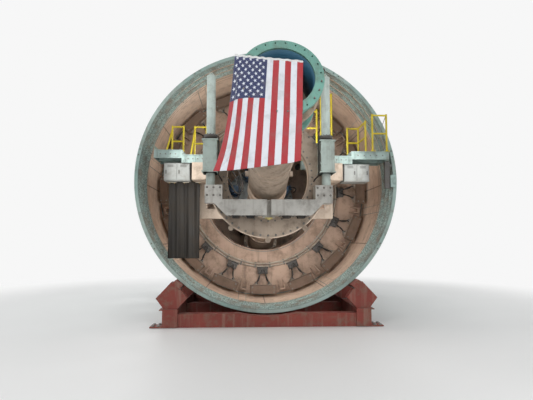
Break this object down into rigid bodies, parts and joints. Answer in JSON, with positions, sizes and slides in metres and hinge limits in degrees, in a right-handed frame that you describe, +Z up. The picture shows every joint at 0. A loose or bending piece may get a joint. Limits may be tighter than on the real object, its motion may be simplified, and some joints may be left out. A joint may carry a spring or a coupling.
{
  "type": "tunnel boring machine",
  "caption": "Earth pressure balance tunnel boring machine on a launch cradle, with its cutterhead, thrust ring, segment erector, screw conveyor and work decks.",
  "frame": {"origin": "on the floor under the middle of the overall length, on the mid-plane", "axes": "+Y forward to the cutterhead, +X right seen from behind, +Z up"},
  "size_m": [6.32, 14.362, 6.5598],
  "materials": {
    "shell_paint": "worn satin paint, weather marks",
    "inner_primer": "matt primer with weld seams",
    "drive_paint": "satin paint",
    "motor_paint": "satin paint",
    "lock_paint": "satin paint",
    "cylinder_paint": "satin paint, oily",
    "rod_chrome": "polished",
    "shoe_paint": "scuffed",
    "brush_steel": "greased wire",
    "cutterhead_paint": "new paint",
    "tool_steel": "hardfaced",
    "hub_steel": "primer",
    "screw_paint": "dusty paint",
    "flange_paint": "glossy paint",
    "auger_steel": "bare, dull",
    "frame_primer": "matt primer",
    "erector_paint": "satin paint",
    "beam_paint": "satin paint",
    "tube_paint": "satin paint",
    "deck_paint": "satin paint",
    "rail_yellow": "gloss paint",
    "cabinet_paint": "satin paint",
    "cradle_oxide": "red oxide primer",
    "hose_rubber": "matt",
    "curtain_cloth": "heavy coated cloth",
    "flag_fabric": "woven cloth, striped"
  },
  "bodies": {
    "shield": {"front_shield": "shell_paint", "bulkhead": "inner_primer", "main_drive": "drive_paint", "drive_motors": "motor_paint", "man_lock": "lock_paint", "mid_shield": "shell_paint", "ring_girder": "inner_primer", "girder_webs": "inner_primer", "shoe_brackets": "inner_primer", "thrust_barrels": "cylinder_paint", "steering_cylinders": "cylinder_paint", "tail_shield": "shell_paint", "tail_seals": "brush_steel", "lifting_lugs": "shell_paint", "screw_casing": "screw_paint", "screw_flanges": "screw_paint", "screw_housing": "flange_paint", "erector_runway": "frame_primer", "erector_carriage": "frame_primer", "erector_motors": "motor_paint", "deck_left": "deck_paint", "deck_right": "deck_paint", "handrail_left": "rail_yellow", "handrail_right": "rail_yellow", "guard_frame": "rail_yellow", "deck_cabinets": "cabinet_paint", "cradle_base": "cradle_oxide", "cradle_gussets": "cradle_oxide", "cradle_rails": "cradle_oxide", "hose_loop_a": "hose_rubber", "hose_loop_b": "hose_rubber", "side_curtain": "curtain_cloth", "flag_cloth": "flag_fabric"},
    "cutterhead": {"cutterhead_disc": "cutterhead_paint", "cutterhead_tools": "tool_steel", "cutterhead_hub": "hub_steel"},
    "auger": {"auger_shaft": "auger_steel", "auger_flight": "auger_steel"},
    "thrust": {"thrust_rods": "rod_chrome", "thrust_shoes": "shoe_paint"},
    "erector_rotor": {"erector_ring": "beam_paint", "erector_columns": "erector_paint"},
    "erector_head": {"erector_beam": "beam_paint", "erector_tubes": "tube_paint"},
    "lock_leaf": {"lock_door": "lock_paint"}
  },
  "joints": [
    {"name": "cutterhead_spin", "type": "hinge", "parent": "shield", "child": "cutterhead", "pos_m": [0, 6.35095, 3.4], "axis": [0, 1, 0], "continuous": true},
    {"name": "auger_spin", "type": "hinge", "parent": "shield", "child": "auger", "pos_m": [0, -3.48085, 3.41303], "axis": [0, -0.9681, 0.2504], "continuous": true},
    {"name": "thrust_slide", "type": "slide", "parent": "shield", "child": "thrust", "axis": [0, -1, 0], "range_m": [0, 1.5]},
    {"name": "erector_turn", "type": "hinge", "parent": "shield", "child": "erector_rotor", "pos_m": [0, -3.09905, 3.4], "axis": [0, 1, 0], "range_deg": [-200, 200]},
    {"name": "head_slide", "type": "slide", "parent": "erector_rotor", "child": "erector_head", "axis": [0, 0, -1], "range_m": [0, 1.2]},
    {"name": "lock_hinge", "type": "hinge", "parent": "shield", "child": "lock_leaf", "pos_m": [-0.4, 2.50495, 5.44], "axis": [0, 0, -1], "range_deg": [0, 100]}
  ]
}
